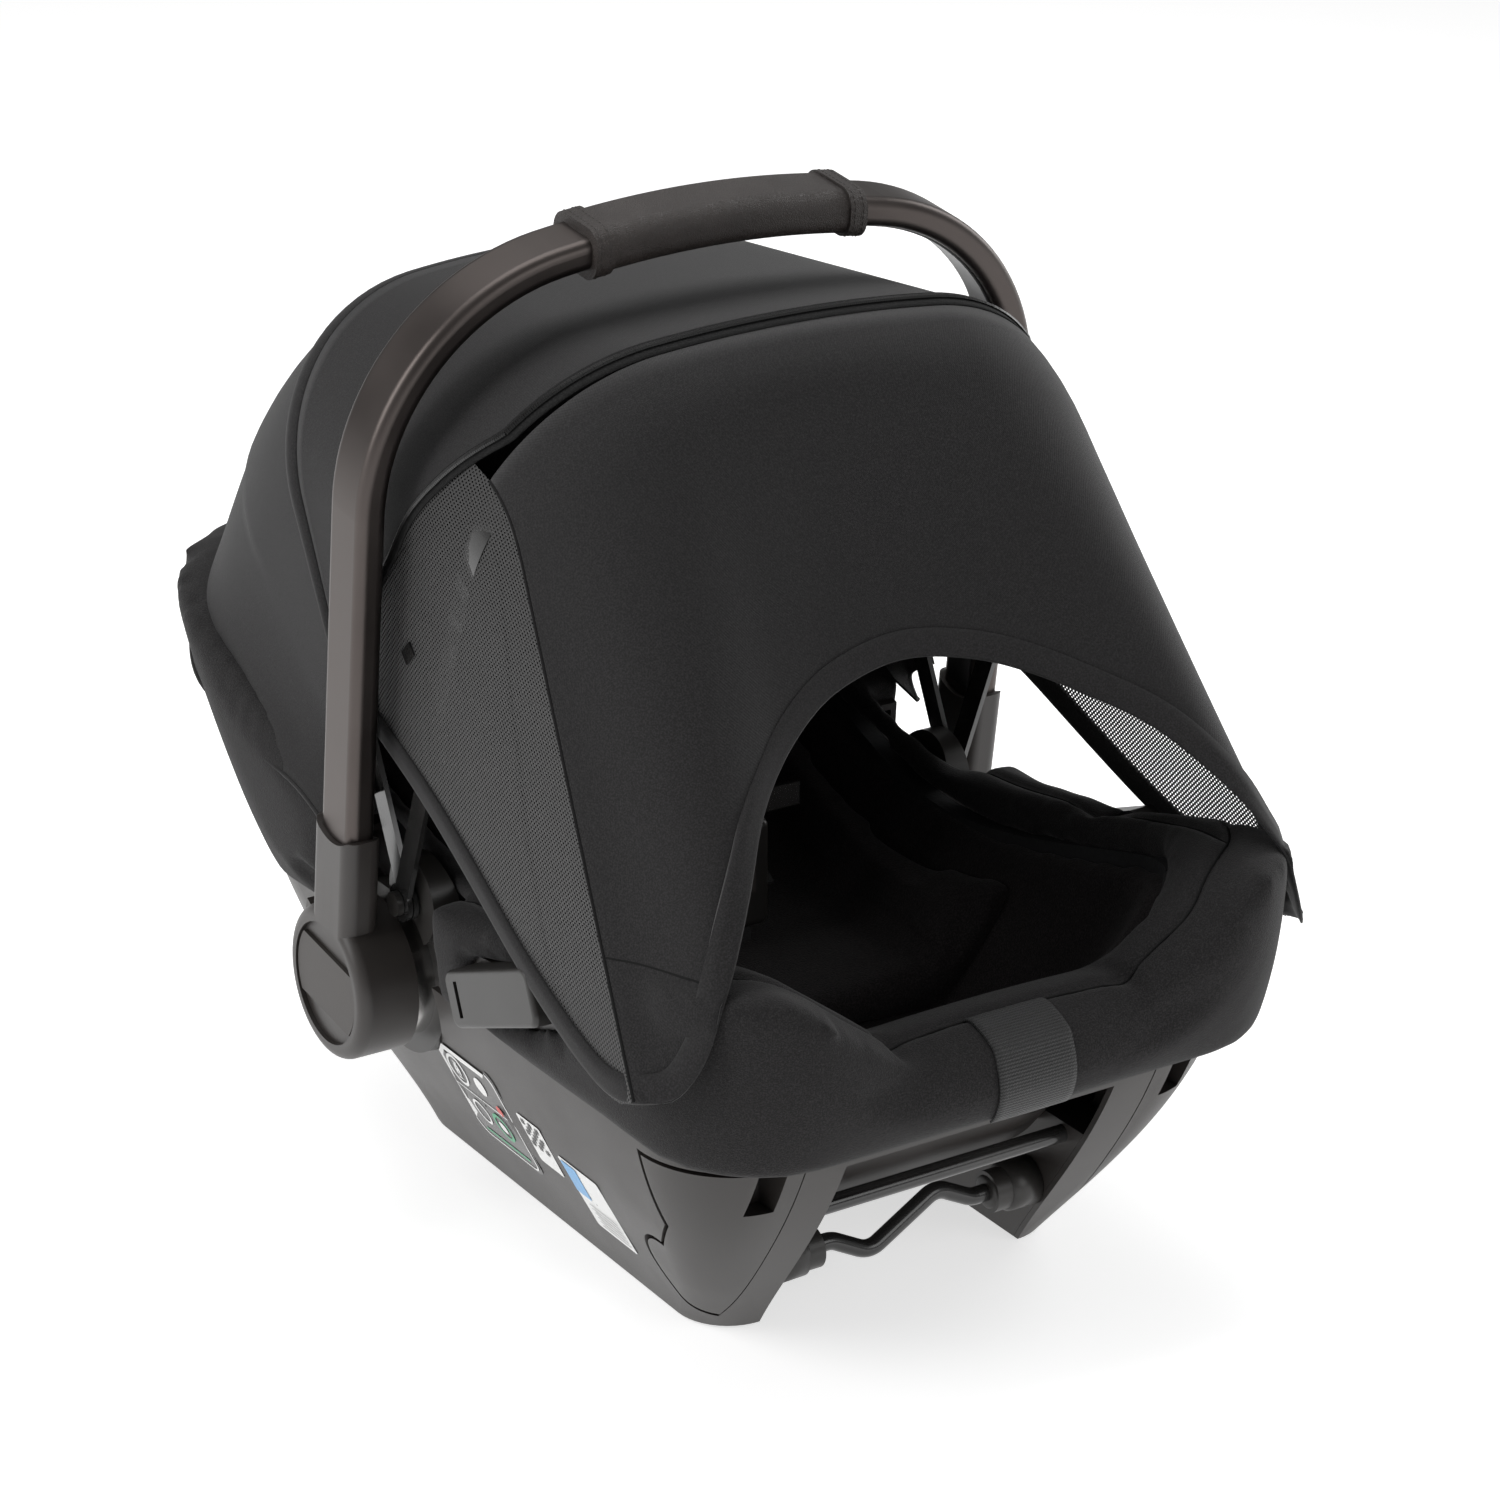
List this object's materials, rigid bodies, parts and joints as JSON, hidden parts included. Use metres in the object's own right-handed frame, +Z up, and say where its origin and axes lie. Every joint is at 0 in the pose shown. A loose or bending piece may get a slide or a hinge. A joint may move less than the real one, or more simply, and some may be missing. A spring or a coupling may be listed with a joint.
{
  "type": "infant car seat",
  "caption": "Rear-facing infant carrier with a folding canopy and drape, swinging carry handle, padded seat, harness and fold-out anchor arms.",
  "frame": {"origin": "on the floor at the middle of the bounding box", "axes": "+Z up, +Y towards the head end, -Y towards the feet, X across the seat"},
  "size_m": [0.44, 0.7003, 0.5781],
  "materials": {
    "shell_plastic": "satin moulded plastic",
    "dark_plastic": "fine grained moulded plastic",
    "plate_plastic": "satin grey plastic",
    "handle_metal": "satin anodised, dark champagne",
    "strip_plastic": "matt",
    "grip_leather": "grained leatherette",
    "steel": "turned steel",
    "black_steel": "gloss black",
    "rubber": "matt",
    "foam": "expanded foam",
    "knit": "knitted cover cloth",
    "soft_knit": "brushed knit",
    "canopy_cloth": "woven canopy cloth",
    "mesh": "open net",
    "webbing": "ribbed webbing",
    "label": "printed film"
  },
  "bodies": {
    "shell": {"upper_cross_bar": "black_steel", "outer_shell": "shell_plastic", "seat_bucket": "dark_plastic", "foam_liner": "foam", "rocker_rail_left": "shell_plastic", "rocker_rail_right": "shell_plastic", "rail_pads": "rubber", "bar_bushings": "dark_plastic", "pivot_pin_left": "steel", "pivot_pin_right": "steel", "ratchet_plate_left": "dark_plastic", "ratchet_plate_right": "dark_plastic", "hub_bracket_left": "dark_plastic", "hub_bracket_right": "dark_plastic", "tab_holder_left": "dark_plastic", "tab_holder_right": "dark_plastic", "belt_guide_left": "dark_plastic", "belt_guide_right": "dark_plastic", "canopy_mount_left": "dark_plastic", "canopy_mount_right": "dark_plastic", "seat_cover": "knit", "seat_pad": "knit", "infant_insert": "soft_knit", "head_pillow": "soft_knit", "foot_webbing": "webbing", "harness_straps": "webbing", "shoulder_pads": "soft_knit", "chest_clip": "dark_plastic", "buckle_housing": "dark_plastic", "buckle_tongues": "steel", "crotch_strap": "webbing", "adjuster_housing": "dark_plastic", "canopy_rear_dome": "canopy_cloth", "side_labels": "label"},
    "handle": {"handle_tube": "handle_metal", "handle_inner_strip": "strip_plastic", "grip_sleeve": "grip_leather", "grip_rings": "grip_leather", "handle_hub_left": "dark_plastic", "handle_hub_right": "dark_plastic"},
    "release_button_left": {"release_button_left": "plate_plastic"},
    "release_button_right": {"release_button_right": "plate_plastic"},
    "release_tab_left": {"release_tab_left": "dark_plastic"},
    "release_tab_right": {"release_tab_right": "dark_plastic"},
    "rear_bow": {"rear_bow": "dark_plastic"},
    "front_bow": {"front_bow": "dark_plastic", "canopy_mid_panel": "canopy_cloth", "drape": "canopy_cloth", "mesh_panel_left": "mesh", "mesh_panel_right": "mesh"},
    "zip_slider": {"zip_slider": "black_steel"},
    "anchor_arms": {"anchor_arm_left": "dark_plastic", "anchor_arm_right": "dark_plastic", "lower_cross_bar": "black_steel"},
    "buckle_press": {"buckle_press": "plate_plastic"},
    "adjuster_press": {"adjuster_press": "plate_plastic"}
  },
  "joints": [
    {"name": "handle_swing", "type": "hinge", "parent": "shell", "child": "handle", "pos_m": [0, 0.022, 0.1426], "axis": [1, 0, 0], "range_deg": [-110, 0]},
    {"name": "release_press_left", "type": "slide", "parent": "handle", "child": "release_button_left", "axis": [1, 0, 0], "range_m": [0, 0.006], "stiffness_N_per_m": 900},
    {"name": "release_press_right", "type": "slide", "parent": "handle", "child": "release_button_right", "axis": [-1, 0, 0], "range_m": [0, 0.006], "stiffness_N_per_m": 900},
    {"name": "tab_lift_left", "type": "slide", "parent": "shell", "child": "release_tab_left", "axis": [0, 0, 1], "range_m": [0, 0.007], "stiffness_N_per_m": 500},
    {"name": "tab_lift_right", "type": "slide", "parent": "shell", "child": "release_tab_right", "axis": [0, 0, 1], "range_m": [0, 0.007], "stiffness_N_per_m": 500},
    {"name": "rear_bow_tilt", "type": "hinge", "parent": "shell", "child": "rear_bow", "pos_m": [0, -0.008, 0.195], "axis": [1, 0, 0], "range_deg": [-26, 0]},
    {"name": "canopy_fold", "type": "hinge", "parent": "rear_bow", "child": "front_bow", "pos_m": [0, -0.008, 0.195], "axis": [1, 0, 0], "range_deg": [-40, 0], "deforming": ["canopy_mid_panel", "drape", "mesh_panel_left", "mesh_panel_right"]},
    {"name": "zip_pull", "type": "slide", "parent": "front_bow", "child": "zip_slider", "axis": [0, -0.7211, 0.6928], "range_m": [-0.015, 0.07]},
    {"name": "anchor_swing", "type": "hinge", "parent": "shell", "child": "anchor_arms", "pos_m": [0, -0.227, 0.044], "axis": [1, 0, 0], "range_deg": [0, 50]},
    {"name": "buckle_push", "type": "slide", "parent": "shell", "child": "buckle_press", "axis": [0, 1, 0], "range_m": [0, 0.004], "stiffness_N_per_m": 600},
    {"name": "adjuster_push", "type": "slide", "parent": "shell", "child": "adjuster_press", "axis": [0, 0, -1], "range_m": [0, 0.003], "stiffness_N_per_m": 600}
  ],
  "couplings": [
    {"joint": "canopy_fold", "follows": "rear_bow_tilt", "ratio": 1.5385}
  ]
}
